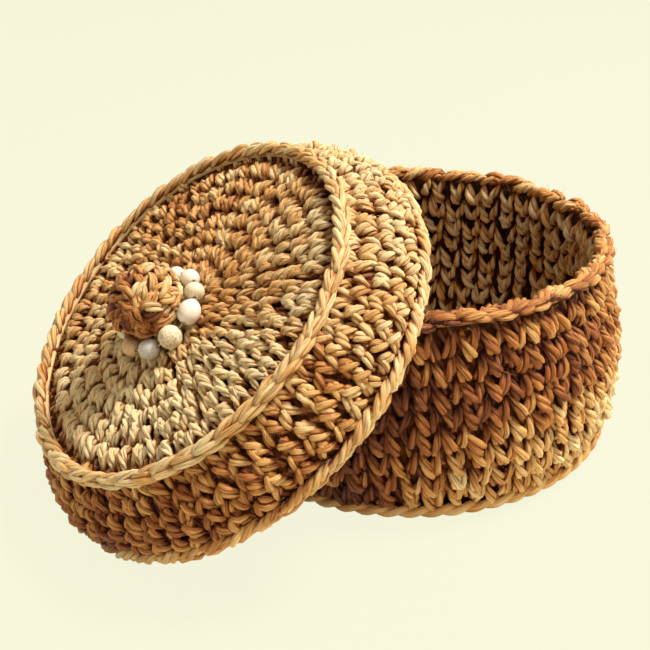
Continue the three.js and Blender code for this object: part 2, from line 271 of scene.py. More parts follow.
# Grass from the palest straw to the darkest red brown
GRASS_STOPS = [(0.0, "f2daa7"), (0.25, "eabd7c"), (0.5, "cf9148"), (0.72, "aa6028"), (1.0, "6b300e")]

# Painted shade: what the dye is dimmed to at the bottom of the work and half way up
DEEP_SHADE_PLACES = (0.0, 0.35, 0.75)
DEEP_SHADE_BROWN = ("421704", "a8682f", "ffffff")
DEEP_SHADE_TAN = ("632f10", "bd8348", "ffffff")
# A lighter painted shade for the lining, which paints light into the box
LINING_DEEP_SHADE = ("80431a", "d69a5a", "ffffff")

# The grass itself: dark cracks between its blades, and how much each pattern moves its tone
CRACK_STOPS = [(0.34, "9c5c2c"), (0.44, "ffffff")]
CRACK_SHARE = 0.65
BLADE_SCALES = (1.5, 9, 1)
FIBRE_SCALES = (3, 26, 1)
PATCH_SCALE = 110
STRAND_SHIFTS = {"X": 37, "Y": 11, "Z": 23}
STRAND_SPREAD = 0.28
PATCH_SPREAD = 0.6
BLADE_SPREAD = 1.1
FIBRE_SPREAD = 0.9
# Crests paled by wear and painted highlight, creases darkened as painted shade: the level between them and how
# strongly
WEAR_AND_SHADE_LEVEL = 0.66
WEAR_AND_SHADE_SPREAD = 0.3
GRASS_ROUGHNESS = 0.5
GRASS_ROUGHNESS_SPREAD = 0.6
GRASS_SPECULAR = 0.4
GRASS_RELIEF = 0.65 * MM

# Felted or spun fibre: its dark, its pale and how fine it is
# The beds are near black as painted shade in the gaps between the stitches
CLOSE_BED_SHADE = ("1e0a02", "4c260a", 700)
OPEN_BED_SHADE = ("2e1304", "653510", 700)
KNOB_FIBRE = ("6b4522", "b58a55", 500)
STUFFING_FIBRE = ("b8a684", "e4dac4", 900)
FELT_PLACES = (0.3, 0.7)
FELT_ROUGHNESS = 0.95
FELT_SPECULAR = 0.1
FELT_BUMP_SHARE = 0.8
FELT_RELIEF = 0.3 * MM


def grass(name, deep_shade=DEEP_SHADE_BROWN):
    """Dried grass cord: its tone from dye and strand, fine fibres along it, with shade painted darker where it is
    deep, and crests paled by wear and painted highlight.
    """
    finish = Finish(name)
    tone = finish.attribute("tone")
    strand = finish.attribute("strand")
    lift = finish.attribute("lift")
    along = finish.node("ShaderNodeUVMap", {"uv_map": "UVMap"}, {})
    place = finish.node("ShaderNodeTexCoord", {}, {}, "Object")
    shifts = {axis: strand * shift for axis, shift in STRAND_SHIFTS.items()}
    moves = finish.node("ShaderNodeCombineXYZ", {}, shifts)
    shifted = finish.node("ShaderNodeVectorMath", {"operation": "ADD"}, {0: along, 1: moves})
    blades = finish.noise(finish.stretched(shifted, BLADE_SCALES), scale=1, detail=3)
    fibres = finish.noise(finish.stretched(shifted, FIBRE_SCALES), scale=1, detail=4)
    patches = finish.noise(place, PATCH_SCALE, detail=2)
    spread = (strand - 0.5) * STRAND_SPREAD + (patches - 0.5) * PATCH_SPREAD
    spread = spread + (blades - 0.5) * BLADE_SPREAD + (fibres - 0.5) * FIBRE_SPREAD
    # Paler on raised crests from wear and painted highlight, darker in creases as painted shade
    wear_and_shade = (WEAR_AND_SHADE_LEVEL - lift) * WEAR_AND_SHADE_SPREAD
    base = finish.ramp(tone + spread + wear_and_shade, GRASS_STOPS)
    cracks = finish.ramp(blades, CRACK_STOPS)
    # Painted shade, darker where the cord lies deep in the work and in its creases
    depth = finish.ramp(lift, list(zip(DEEP_SHADE_PLACES, deep_shade)))
    worn = finish.mixed("MULTIPLY", CRACK_SHARE, base, cracks)
    finish.feed(finish.shader.inputs["Base Color"], finish.mixed("MULTIPLY", 1.0, worn, depth))
    rough = GRASS_ROUGHNESS + (fibres - 0.5) * GRASS_ROUGHNESS_SPREAD
    finish.feed(finish.shader.inputs["Roughness"], rough)
    finish.shader.inputs["Specular IOR Level"].default_value = GRASS_SPECULAR
    finish.bump(blades + fibres, 1.0, GRASS_RELIEF)
    return finish.material


def felt(name, fibre):
    """Felted or spun fibre."""
    dark, pale, scale = fibre
    finish = Finish(name)
    place = finish.node("ShaderNodeTexCoord", {}, {}, "Object")
    fuzz = finish.noise(place, scale, detail=4)
    base = finish.ramp(fuzz, list(zip(FELT_PLACES, (dark, pale))))
    finish.feed(finish.shader.inputs["Base Color"], base)
    finish.shader.inputs["Roughness"].default_value = FELT_ROUGHNESS
    finish.shader.inputs["Specular IOR Level"].default_value = FELT_SPECULAR
    finish.bump(fuzz, FELT_BUMP_SHARE, FELT_RELIEF)
    return finish.material


class Cordwork:
    """The strands of one piece, gathered as splines and made into one mesh."""

    def __init__(self, name, resolution=FINE_RESOLUTION):
        self.curve = bpy.data.curves.new(name, "CURVE")
        self.curve.dimensions = "3D"
        self.curve.bevel_depth = 1
        self.curve.bevel_resolution = resolution
        # A round section has four sides, and two more for each step of its resolution
        self.sides = 4 + 2 * resolution
        self.name = name
        # For each point: the core's middle, the way out, the reach, the lift that sets its painted shade, the dye
        # and the strand's number
        self.rows = []

    def add(self, points, radii, lifts, tone, closed=False, core=None):
        """A strand. Its core, where it winds round one, is the core's path, the way out and its reach."""
        spline = self.curve.splines.new("POLY")
        spline.points.add(len(points) - 1)
        spline.points.foreach_set("co", np.column_stack([points, np.ones(len(points))]).ravel())
        spline.points.foreach_set("radius", radii)
        spline.use_cyclic_u = closed
        middle, outward, reach = core or (points, np.zeros((len(points), 3)), radii)
        marks = np.tile((tone, random_draw.random()), (len(points), 1))
        self.rows.append(np.column_stack([middle, outward, reach, lifts, marks]))

    def made(self, body, nodes, slot, material):
        """The finished piece. Each corner keeps its strand's dye, its strand's own number and its lift, which sets
        the shade painted in deep parts and creases.
        """
        source = bpy.data.objects.new(self.name + "_line", self.curve)
        mesh = bpy.data.meshes.new_from_object(source)
        rows = np.repeat(np.concatenate(self.rows), self.sides, axis=0)
        corners = np.empty(len(mesh.vertices) * 3)
        mesh.vertices.foreach_get("co", corners)
        corners[2::3] = np.maximum(corners[2::3], GROUND_LEVEL)
        mesh.vertices.foreach_set("co", corners)
        away = corners.reshape(-1, 3) - rows[:, :3]
        # Painted shade: lower where a corner lies deep in the work or in a crease between plies
        distance = np.linalg.norm(away, axis=1) / np.maximum(rows[:, 6], WELD)
        crease = np.clip((distance - CREASE_START_SHARE) / CREASE_REACH_SHARE, 0, 1)
        level = np.clip(rows[:, 7] + (away * rows[:, 3:6]).sum(1), 0, 1)
        lift = level * (CREASE_LEVEL_SHARE + (1 - CREASE_LEVEL_SHARE) * crease)
        for name, values in (("lift", lift), ("tone", rows[:, 8]), ("strand", rows[:, 9])):
            attribute = mesh.attributes.new(name, "FLOAT", "POINT")
            attribute.data.foreach_set("value", values.astype(np.float32))
        bpy.data.objects.remove(source)
        ends_closed = bmesh.new()
        ends_closed.from_mesh(mesh)
        bmesh.ops.remove_doubles(ends_closed, verts=ends_closed.verts, dist=WELD)
        ends_closed.to_mesh(mesh)
        ends_closed.free()
        return placed(self.name, mesh, body, nodes, slot, material)


def placed(name, mesh, body, nodes, slot, material):
    """A finished piece: smooth, on its body, standing for its CAD nodes."""
    mesh.materials.clear()
    mesh.materials.append(material)
    mesh.polygons.foreach_set("use_smooth", [True] * len(mesh.polygons))
    piece = bpy.data.objects.new(name, mesh)
    bpy.context.scene.collection.objects.link(piece)
    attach(piece, body)
    if nodes:
        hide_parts(*nodes)
    return piece


class Face:
    """A worked face turned round an axis: its outline runs from the first row to the last."""

    def __init__(self, place, outline, side):
        self.turn_to_row = np.array(place.to_3x3())
        self.origin = np.array(place.translation)
        self.outline = outline
        self.side = side

    def at(self, turns, alongs, lifts):
        """Points that lie lifts above the face, and the face's direction out of the work there."""
        radii, heights = self.outline(alongs)
        radii_on, heights_on = self.outline(alongs + NUDGE_SHARE)
        run, rise = radii_on - radii, heights_on - heights
        length = np.hypot(run, rise)
        out_radius, out_height = self.side * rise / length, -self.side * run / length
        radii = radii + out_radius * lifts
        heights = heights + out_height * lifts
        cosines, sines = np.cos(FULL_TURN * turns), np.sin(FULL_TURN * turns)
        local = np.stack([radii * cosines, radii * sines, heights], -1)
        outward = np.stack([out_radius * cosines, out_radius * sines, out_height], -1)
        return local @ self.turn_to_row.T + self.origin, outward @ self.turn_to_row.T


def unit(vectors):
    return vectors / np.linalg.norm(vectors, axis=-1, keepdims=True)


def rounded(shares):
    """The same run of points with its corners cut, so that a strand bends smoothly."""
    shares = np.array(shares)
    before, after = shares[:-1], shares[1:]
    kept = 1 - CUT_SHARE
    cut = np.stack([kept * before + CUT_SHARE * after, CUT_SHARE * before + kept * after], 1)
    return np.concatenate([shares[:1], cut.reshape(-1, 4), shares[-1:]])


# The legs of a stitch, each from the foot of its V to the top: how far across and along in stitches and
# rows, how high over the bed in cord thicknesses, and how thick. The front leg is a full drop, and the
# side leg slips behind it
FRONT_LEG_SHARES = rounded([
    (-0.1, -0.42, -0.45, 0.0),
    (-0.08, -0.27, 0.58, 1.36),
    (0.06, 0.04, 0.76, 1.26),
    (0.25, 0.46, 0.3, 0.82),
    (0.4, 0.92, -0.5, 0.0),
])
SIDE_LEG_SHARES = rounded([
    (-0.14, -0.36, -0.6, 0.0),
    (-0.2, -0.18, 0.4, 1.22),
    (-0.32, 0.12, 0.62, 1.18),
    (-0.46, 0.54, 0.2, 0.8),
    (-0.54, 0.94, -0.5, 0.0),
])

# The thinner strands behind the stitches, three to a stitch, their tone a step darker as painted shade
BACK_SHARES = np.array([
    (0.0, -0.4, -0.7, 0.0),
    (-0.08, 0.05, 0.0, 0.85),
    (0.08, 0.55, 0.0, 0.85),
    (0.0, 1.0, -0.7, 0.0),
])
BACK_SHIFT_SHARES = (0.05, 0.4, 0.72)
BACK_SLANT_SHARE = 0.4
BACK_SHADE_STEP = 0.1

# One side of a link of a chain plait: how far on in links, across in half widths, its height and thickness
LINK_SHARES = rounded([
    (-0.35, -0.16, -0.4, 0.0),
    (-0.05, 0.02, 0.24, 1.12),
    (0.5, 0.22, 0.32, 1.32),
    (1.05, 0.46, 0.1, 1.08),
    (1.5, 0.66, -0.45, 0.0),
])


def lay(work, face, turns, alongs, turn_steps, along_step, shares, cord, tones, slip, ground=GROUND_SHARE):
    """Lays one leg at each of the places given, each of the cord's plies twisted round its path."""
    count = len(turns)
    shake = random_draw.normal(0, slip, (3, count, 1))
    size = 1 + random_draw.normal(0, SIZE_SPREAD_SHARE, (count, 1))
    lean = random_draw.normal(0, slip, (count, 1)) * (shares[:, 1] - shares[:, 1].mean())
    turn = turns[:, None] + (shares[:, 0] + shake[0] + lean) * turn_steps[:, None]
    along = alongs[:, None] + (shares[:, 1] + shake[1]) * along_step
    lift = (shares[:, 2] + shake[2]) * cord.thickness
    swell = shares[:, 3] * size
    middle, outward = face.at(turn, along, lift)
    forward = unit(np.gradient(middle, axis=1))
    sideways = unit(np.cross(forward, outward))
    upward = np.cross(sideways, forward)
    steps = np.linalg.norm(np.diff(middle, axis=1), axis=-1)
    travelled = np.concatenate([np.zeros((count, 1)), np.cumsum(steps, axis=1)], axis=1)
    start = random_draw.uniform(*TWIST_STARTS, (count, 1))
    twist_length = cord.lay * np.exp(random_draw.normal(0, LAY_SPREAD_SHARE, (count, 1)))
    # How high each point lies in the work, which sets its painted shade
    level = ground + LEVEL_SLOPE * shares[:, 2]
    radius_share, offset_share = PLY_SHARES[cord.plies]
    for ply in range(cord.plies):
        twist = start + FULL_TURN * (travelled / twist_length + ply / cord.plies)
        across = np.cos(twist)[..., None] * sideways
        above = np.sin(twist)[..., None] * upward
        points = middle + (across + above) * offset_share * cord.thickness * swell[..., None]
        radii = radius_share * cord.thickness * swell
        for i in range(count):
            core = (middle[i], LEVEL_RISE * outward[i] / cord.thickness, cord.thickness * swell[i])
            work.add(points[i], radii[i], level, tones[i], core=core)


def lay_stitches(works, face, rows, cord, tone, slip=SLIP_SHARE, lead=1, back=None, spread=1):
    """Rows of V stitches, shared out over the works. rows is the number of stitches in each, tone gives the
    tone at a turn in a row, dye with any painted shade, lead is the way round that the stitches lean, and spread
    widens them."""
    for row, stitches in enumerate(rows):
        work = works[row * len(works) // len(rows)]
        turns = (np.arange(stitches) - ROW_SLANT_SHARE * row) / stitches
        alongs = np.full(stitches, row / len(rows))
        turn_steps = np.full(stitches, lead / stitches)
        tones = tone(row, turns) + random_draw.normal(0, DYE_SPREAD, stitches)
        for shares in (FRONT_LEG_SHARES, SIDE_LEG_SHARES):
            shares = shares * (spread, 1, 1, 1)
            lay(work, face, turns, alongs, turn_steps, 1 / len(rows), shares, cord, tones, slip)
        if back:
            thin = cord._replace(plies=2)
            # Painted shade: the strands behind are dyed a step darker
            shaded_tones = tones + BACK_SHADE_STEP
            for shift in BACK_SHIFT_SHARES:
                shares = BACK_SHARES + (shift, BACK_SLANT_SHARE * shift, 0, 0)
                lay(back, face, turns, alongs, turn_steps, 1 / len(rows), shares, thin, shaded_tones, slip)


def lay_plait(work, face, depth, links, cord, tone, width=1, slip=PLAIT_SLIP_SHARE):
    """A chain plait over a core: each link has a leg on each side of the plait's middle."""
    turns = np.arange(links) / links
    turn_steps = np.full(links, 1 / links)
    middles = np.full(links, 0.5)
    tones = tone(0, turns) + random_draw.normal(0, DYE_SPREAD, links)
    for hand in (1, -1):
        shares = LINK_SHARES * (1, hand * width, 1, 1)
        lay(work, face, turns, middles, turn_steps, 0.5, shares, cord, tones, slip, PLAIT_GROUND_SHARE)
    steps = CORE_STEPS * links
    points, _ = face.at(np.arange(steps) / steps, np.full(steps, 0.5), np.full(steps, -depth))
    work.add(points, np.full(steps, depth), np.full(steps, CORE_LEVEL), float(np.mean(tones)), True)


def lay_fuzz(work, face, cord, fuzz):
    """Loose fibres that stand off a face."""
    count, tone = fuzz
    bend = np.linspace(0, 1, FUZZ_POINTS)
    for _ in range(count):
        turn, along = random_draw.random((2, 1))
        middle, outward = face.at(turn, along, 0.5 * cord.thickness)
        heading = random_draw.normal(0, 1, (2, 3))
        heading[0] += FUZZ_LIFT_SHARE * outward[0]
        reach = FUZZ_LENGTH * random_draw.uniform(*FUZZ_LENGTH_SHARES)
        straight = bend[:, None] * unit(heading[0])
        curl = FUZZ_CURL_SHARE * bend[:, None] ** 2 * unit(heading[1])
        dye = tone + random_draw.normal(0, FUZZ_DYE_SPREAD)
        work.add(middle + reach * (straight + curl), FUZZ_RADIUS * (1 - bend), np.ones(FUZZ_POINTS), dye)


class Ring:
    """The room a CAD node takes round the axis of a place: its radii and heights."""

    def __init__(self, node, place):
        back = place.inverted()
        corners = [back @ v.co for v in frame["nodes"][node].data.vertices]
        radii = [math.hypot(c.x, c.y) for c in corners]
        self.inside = min(radii)
        self.outside = max(radii)
        self.bottom = min(c.z for c in corners)
        self.top = max(c.z for c in corners)
        self.middle = (self.inside + self.outside) / 2
        self.level = (self.bottom + self.top) / 2


def through(points):
    """An outline through points of radius and height, as radius follows height smoothly."""
    radii, heights = zip(*points)
    curve = np.polynomial.Polynomial.fit(heights, radii, len(points) - 1)

    def outline(alongs):
        level = heights[0] + (heights[-1] - heights[0]) * alongs
        return curve(level), level

    return outline


def disc(radius, height):
    """The outline of a flat disc, from its middle outwards."""
    def outline(alongs):
        return radius * alongs, height + 0 * alongs
    return outline


def post(radius, bottom, rise):
    """The outline of a round post, from its bottom upwards."""
    def outline(alongs):
        return radius + 0 * alongs, bottom + rise * alongs
    return outline


def arc(ring, cord, directions, fullness=0.0, drop=0.0):
    """The outline round a plait's section, and its reach from the section's middle: the directions of its
    ends are degrees up from straight outwards."""
    start, end = directions
    radius = (ring.outside - ring.inside - cord.thickness) / 2 + fullness

    def outline(alongs):
        direction = np.radians(start + (end - start) * alongs)
        return ring.middle + radius * np.cos(direction), ring.level - drop + radius * np.sin(direction)

    return outline, radius


def moved(outline, distance):
    """The same outline, nearer to the axis or further from it."""
    def shifted(alongs):
        radii, heights = outline(alongs)
        return radii + distance, heights
    return shifted


def longer(outline, share):
    """The same outline, run on past its end."""
    def stretched(alongs):
        return outline(alongs * share)
    return stretched


def spun(name, profile, place, body, nodes, slot, material, steps=BED_STEPS):
    """A body turned from a closed profile of radius and height."""
    body_mesh = bmesh.new()
    corners = [body_mesh.verts.new((r, 0, z)) for r, z in profile]
    edges = [body_mesh.edges.new((a, b)) for a, b in zip(corners, corners[1:] + corners[:1])]
    bmesh.ops.spin(
        body_mesh, geom=corners + edges, cent=(0, 0, 0), axis=(0, 0, 1),
        angle=FULL_TURN, steps=steps, use_merge=True,
    )
    bmesh.ops.remove_doubles(body_mesh, verts=body_mesh.verts, dist=WELD)
    bmesh.ops.recalc_face_normals(body_mesh, faces=body_mesh.faces)
    bmesh.ops.transform(body_mesh, matrix=place, verts=body_mesh.verts)
    mesh = bpy.data.meshes.new(name)
    body_mesh.to_mesh(mesh)
    body_mesh.free()
    return placed(name, mesh, body, nodes, slot, material)


def bed(name, outer, inner, place, body, slot, ends=BED_SHARES):
    """The thin fibre bed half way between an outer and an inner face, dark as painted shade in the gaps."""
    shares = np.linspace(*ends, BED_LEVELS)
    radii, heights = (sum(pair) / 2 for pair in zip(outer(shares), inner(shares)))
    profile = [(r + BED_HALF, h) for r, h in zip(radii, heights)]
    profile += [(r - BED_HALF, h) for r, h in zip(radii[::-1], heights[::-1])]
    return spun(name, profile, place, body, [], slot, felt(name + "_fibre", OPEN_BED_SHADE))


# A slow change of dye round the work: how strong it is, and where its broad and fine waves start in the
# first row and move to in each next row
Wave = namedtuple("Wave", "depth broad broad_step fine fine_step")
BROAD_WAVE_SHARE = 0.6
FINE_WAVE_SHARE = 0.4
FINE_WAVES = 3

# A side of the work with a dye of its own: where it is and how wide
Side = namedtuple("Side", "turn width")


def wave(kind, row, turns):
    broad = np.sin(FULL_TURN * (turns + kind.broad + kind.broad_step * row))
    fine = np.sin(FULL_TURN * (FINE_WAVES * turns + kind.fine + kind.fine_step * row))
    return kind.depth * (BROAD_WAVE_SHARE * broad + FINE_WAVE_SHARE * fine)


def near(side, turns):
    """One on the side given, falling to nought away from it."""
    return np.exp(-((turns % 1 - side.turn) / side.width) ** 2)


def facing(turn, turns):
    """One at the turn given, minus one across the work from it."""
    return np.cos(FULL_TURN * (turns - turn))


def plain(value):
    """One dye for every row."""
    def tone(row, turns):
        return np.full(len(turns), value)
    return tone


# Box
on_box = Matrix.Identity(4)
rim = Ring("rim_braid", on_box)
wall = Ring("box_wall", on_box)
foot = Ring("foot_rope", on_box)
floor = Ring("box_floor", on_box)
BELLY_HEIGHT = 23 * MM
WALL_THICKNESS = 4.8 * MM
WALL_LAP = 1.2 * MM
FOOT_LAP = 1.6 * MM
FOOT_RETREAT = 1.3 * MM
RIM_RETREAT = 0.7 * MM
WALL_SINK_SHARE = 0.8
LINING_SINK_SHARE = 0.6
LINING_REACH_SHARE = 1.05
wall_outside = through([
    (foot.outside - FOOT_RETREAT, wall.bottom + FOOT_LAP),
    (wall.outside, BELLY_HEIGHT),
    ((wall.outside + rim.outside) / 2, (BELLY_HEIGHT + wall.top) / 2),
    (rim.outside - RIM_RETREAT, wall.top + WALL_LAP),
])

# The wall's tones: each row's own dye, a paler side, and the lid's shadow painted on one side, fading row by row
WALL_ROW_TONES = (0.34, 0.26, 0.32, 0.54, 0.76, 0.84, 0.8, 0.66)
WALL_PALE_SIDE = Side(0.88, 0.08)
WALL_PALE_DEPTH = 0.25
WALL_LID_SHADOW_SIDE = Side(0.6, 0.052)
WALL_LID_SHADOW_DEPTH = 0.82
WALL_LID_SHADOW_STEP = 0.09
WALL_WAVE = Wave(0.1, 0.4, 0.02, 0, 0.1)
# The lining's dye is set paler to paint light into the inside of the box
LINING_LIT_TONE = 0.22


def make_wall():
    outer = moved(wall_outside, -WALL_SINK_SHARE * WALL_CORD.thickness)
    inner = moved(wall_outside, LINING_SINK_SHARE * LINING_CORD.thickness - WALL_THICKNESS)
    outside = [Cordwork(name, PLAIN_RESOLUTION) for name in ("wall_stitches_low", "wall_stitches_high")]
    behind = Cordwork("wall_back_strands", PLAIN_RESOLUTION)
    face = Face(on_box, outer, 1)

    def tone(row, turns):
        pale = WALL_PALE_DEPTH * near(WALL_PALE_SIDE, turns)
        # The lid's shadow, painted on the wall beside it and strongest low down
        dark = (WALL_LID_SHADOW_DEPTH - WALL_LID_SHADOW_STEP * row) * near(WALL_LID_SHADOW_SIDE, turns)
        return WALL_ROW_TONES[row] - pale + dark + wave(WALL_WAVE, row, turns)

    rows = [WALL_STITCHES] * WALL_ROWS
    lay_stitches(outside, face, rows, WALL_CORD, tone, WALL_SLIP_SHARE, lead=-1, back=behind)
    lay_fuzz(behind, face, WALL_CORD, WALL_FUZZ)
    material = grass("wall_grass")
    outside[0].made("box", ["box_wall"], "wall_cord", material)
    outside[1].made("box", [], "wall_cord", material)
    behind.made("box", [], "wall_cord", material)
    inside = Cordwork("lining_stitches", PLAIN_RESOLUTION)
    lining = Face(on_box, longer(inner, LINING_REACH_SHARE), -1)
    rows = [LINING_STITCHES] * WALL_ROWS
    lay_stitches([inside], lining, rows, LINING_CORD, plain(LINING_LIT_TONE), LINING_SLIP_SHARE)
    inside.made("box", [], "wall_cord", grass("lining_grass", LINING_DEEP_SHADE))
    bed("wall_bed", outer, inner, on_box, "box", "wall_cord")


# The rim's plait: the ends of its section, how full it is and how far it comes down, and its dyes
RIM_ARC = (215, -35)
RIM_FULLNESS = 0.1 * MM
RIM_DROP = 0.2 * MM
RIM_WIDTH_SHARE = 1.25
RIM_TONE = 0.77
RIM_PALE_TURN = 0.1
RIM_PALE_DEPTH = 0.34
RIM_PALE_REACH = 0.2
RIM_WAVE = Wave(0.16, 0, 0, 0.3, 0)


def make_rim():
    work = Cordwork("rim_plait")
    outline, depth = arc(rim, RIM_CORD, RIM_ARC, RIM_FULLNESS, RIM_DROP)

    def tone(row, turns):
        pale = RIM_PALE_DEPTH * np.clip(facing(RIM_PALE_TURN, turns) + RIM_PALE_REACH, 0, 1)
        return RIM_TONE - pale + wave(RIM_WAVE, row, turns)

    face = Face(on_box, outline, -1)
    lay_plait(work, face, depth, RIM_LINKS, RIM_CORD, tone, RIM_WIDTH_SHARE, RIM_SLIP_SHARE)
    lay_fuzz(work, face, RIM_CORD, RIM_FUZZ)
    work.made("box", ["rim_braid"], "rim_cord", grass("rim_grass"))


def make_rope(name, ring, place, turns, body, node, slot, tone):
    """A rope of two plies laid in a ring."""
    thickness = ring.top - ring.bottom
    work = Cordwork(name)
    steps = turns * ROPE_STEPS
    around = np.arange(steps) / steps
    face = Face(place, post(ring.middle, ring.level, thickness), 1)
    for ply in range(ROPE_PLIES):
        twist = FULL_TURN * (around * turns + ply / ROPE_PLIES)
        alongs = (0.5 - ROPE_PLY_SHARE) * np.sin(twist)
        points, _ = face.at(around, alongs, ROPE_OFFSET_SHARE * thickness * np.cos(twist))
        # Painted shade where each ply turns under the other
        lifts = np.clip(ROPE_LEVEL + (1 - ROPE_LEVEL) * np.cos(twist), 0, 1)
        work.add(points, np.full(steps, ROPE_PLY_SHARE * thickness), lifts, tone, True)
    work.made(body, [node], slot, grass(name + "_grass"))


# The floor: how deep its faces lie in cord thicknesses, and where its bed meets the foot rope
FLOOR_SINK_SHARE = 0.5
UNDERSIDE_SINK_SHARE = 1.45
FLOOR_BED_EDGE_SHARES = (0.5, 0.7)
FLOOR_TONE = 0.5
UNDERSIDE_TONE = 0.45


def rounds_of(stitches, rounds):
    """How many stitches each round of a disc has, when its last has all of them."""
    return [round(stitches * (k + 1) / rounds) for k in range(rounds)]


def make_floor():
    rounds = rounds_of(FLOOR_STITCHES, FLOOR_ROUNDS)
    top_height = floor.top - FLOOR_SINK_SHARE * FLOOR_CORD.thickness
    under_height = floor.bottom + UNDERSIDE_SINK_SHARE * THIN_CORD.thickness
    top = Cordwork("floor_stitches", PLAIN_RESOLUTION)
    face = Face(on_box, disc(floor.outside, top_height), -1)
    lay_stitches([top], face, rounds, FLOOR_CORD, plain(FLOOR_TONE))
    top.made("box", ["box_floor"], "floor_cord", grass("floor_grass"))
    under = Cordwork("underside_stitches", PLAIN_RESOLUTION)
    face = Face(on_box, disc(floor.outside, under_height), 1)
    lay_stitches([under], face, rounds, THIN_CORD, plain(UNDERSIDE_TONE), CLOSE_SLIP_SHARE)
    under.made("box", [], "floor_cord", grass("underside_grass"))
    profile = [(0, under_height)]
    profile += [(foot.middle, share * foot.top) for share in FLOOR_BED_EDGE_SHARES]
    profile += [(floor.outside, top_height - BED_DEPTH), (0, top_height - BED_DEPTH)]
    spun("floor_bed", profile, on_box, "box", [], "floor_cord", felt("floor_bed_shade", CLOSE_BED_SHADE))


# Lid: its frame stands on the corner plait, with its axis from the joint of the bead strand
turn_joint = next(j for j in frame["joints"] if j["name"] == "strand_turn")
lid_axis = Vector(turn_joint["axis"])
uphill = Vector((0, 1, 0)).cross(lid_axis)
lid_turn = Matrix((uphill, Vector((0, 1, 0)), lid_axis)).transposed().to_4x4()
corner_points = [v.co for v in frame["nodes"]["corner_braid"].data.vertices]
on_lid = Matrix.Translation(sum(corner_points, Vector()) / len(corner_points)) @ lid_turn
on_knob = Matrix.Translation(Vector(turn_joint["pos_m"])) @ lid_turn
corner = Ring("corner_braid", on_lid)
lid_top = Ring("lid_top", on_lid)
skirt = Ring("lid_skirt", on_lid)
edge = Ring("edge_braid", on_lid)
knob = Ring("knob_cover", on_knob)
tie = Ring("knob_tie", on_knob)
strand_ring = Ring("strand_cord", on_knob)
TOP_LAP = 0.5 * MM
LIP_HALF = 0.6 * MM
LID_SINK_SHARE = 0.7
LID_LINING_SINK_SHARE = 0.5

# The lid top's tones: a dark patch of dye beside the knob, a darker left side and a paler low side
LID_TONE = 0.2
LID_PATCH = (4 * MM, -15 * MM)
LID_PATCH_REACH = 17 * MM
LID_PATCH_DEPTH = 0.42
LID_LEFT_SIDE = Side(0.34, 0.13)
LID_LEFT_DEPTH = 0.08
LID_PALE_TURN = 0.64
LID_PALE_DEPTH = 0.18
LID_WAVE = Wave(0.1, 0.2, 0, 0, 0.13)
HIDDEN_TONE = 0.5


def make_lid_top():
    top_radius = corner.inside + TOP_LAP
    face_height = lid_top.top - LID_SINK_SHARE * LID_CORD.thickness
    under_height = lid_top.bottom + LID_LINING_SINK_SHARE * THIN_CORD.thickness
    upper = Face(on_lid, disc(top_radius, face_height), -1)
    rounds = rounds_of(LID_TOP_STITCHES, LID_ROUNDS)
    work = Cordwork("top_stitches", PLAIN_RESOLUTION)
    behind = Cordwork("top_back_strands", PLAIN_RESOLUTION)

    def tone(row, turns):
        radius = top_radius * (row + 0.5) / LID_ROUNDS
        across = radius * np.cos(FULL_TURN * turns) - LID_PATCH[0]
        aside = radius * np.sin(FULL_TURN * turns) - LID_PATCH[1]
        patch = LID_PATCH_DEPTH * np.exp(-(across ** 2 + aside ** 2) / LID_PATCH_REACH ** 2)
        left = LID_LEFT_DEPTH * near(LID_LEFT_SIDE, turns)
        low = LID_PALE_DEPTH * facing(LID_PALE_TURN, turns)
        return LID_TONE + patch + left - low + wave(LID_WAVE, row, turns)

    lay_stitches([work], upper, rounds, LID_CORD, tone, LID_SLIP_SHARE, back=behind)
    lay_fuzz(behind, upper, LID_CORD, LID_FUZZ)
    material = grass("lid_grass", DEEP_SHADE_TAN)
    work.made("lid", ["lid_top"], "lid_cord", material)
    behind.made("lid", [], "lid_cord", material)
    under = Cordwork("lid_lining_stitches", PLAIN_RESOLUTION)
    lower = Face(on_lid, disc(skirt.inside, under_height), 1)
    lay_stitches([under], lower, rounds, THIN_CORD, plain(HIDDEN_TONE), CLOSE_SLIP_SHARE)
    under.made("lid", [], "lid_cord", grass("lid_lining_grass"))
    low, high = under_height + BED_DEPTH, face_height - BED_DEPTH
    profile = [(0, low), (skirt.inside, low)]
    profile += [(corner.middle + LIP_HALF, high), (corner.middle + LIP_HALF, corner.level)]
    profile += [(corner.middle - LIP_HALF, corner.level), (corner.inside - LIP_HALF, high), (0, high)]
    spun("lid_bed", profile, on_lid, "lid", [], "lid_cord", felt("lid_bed_shade", OPEN_BED_SHADE))


# The lid's two plaits
CORNER_ARC = (165, -35)
CORNER_FULLNESS = 0.3 * MM
CORNER_DROP = 0.3 * MM
CORNER_TONE = 0.27
EDGE_ARC = (-140, 100)
EDGE_FULLNESS = -0.1 * MM
EDGE_WIDTH_SHARE = 1.2
EDGE_TONE = 0.36
EDGE_DYE_AND_SHADE_DEPTH = 0.12
EDGE_WAVE = Wave(0.08, 0, 0, 0.3, 0)

# The skirt: its bulge, how far its stitches run under the plaits, and its tones, darker on its low side and paler
# across from it, partly dye and partly painted shade
SKIRT_BULGE = 1.5 * MM
SKIRT_LAP = 1.2 * MM
SKIRT_THICKNESS = 4.0 * MM
SKIRT_LINING_SINK_SHARE = 0.6
SKIRT_SPREAD_SHARE = 1.02
SKIRT_TONE = 0.4
SKIRT_DYE_AND_SHADE_TURN = 0.55
SKIRT_DYE_AND_SHADE_DEPTH = 0.3
SKIRT_DYE_AND_SHADE_STEP = 0.03
SKIRT_WAVE = Wave(0.08, 0.1, 0, 0, 0.1)


def make_corner():
    work = Cordwork("corner_plait")
    outline, depth = arc(corner, CORNER_CORD, CORNER_ARC, CORNER_FULLNESS, CORNER_DROP)
    lay_plait(work, Face(on_lid, outline, -1), depth, LID_LINKS, CORNER_CORD, plain(CORNER_TONE))
    work.made("lid", ["corner_braid"], "corner_cord", grass("corner_grass", DEEP_SHADE_TAN))


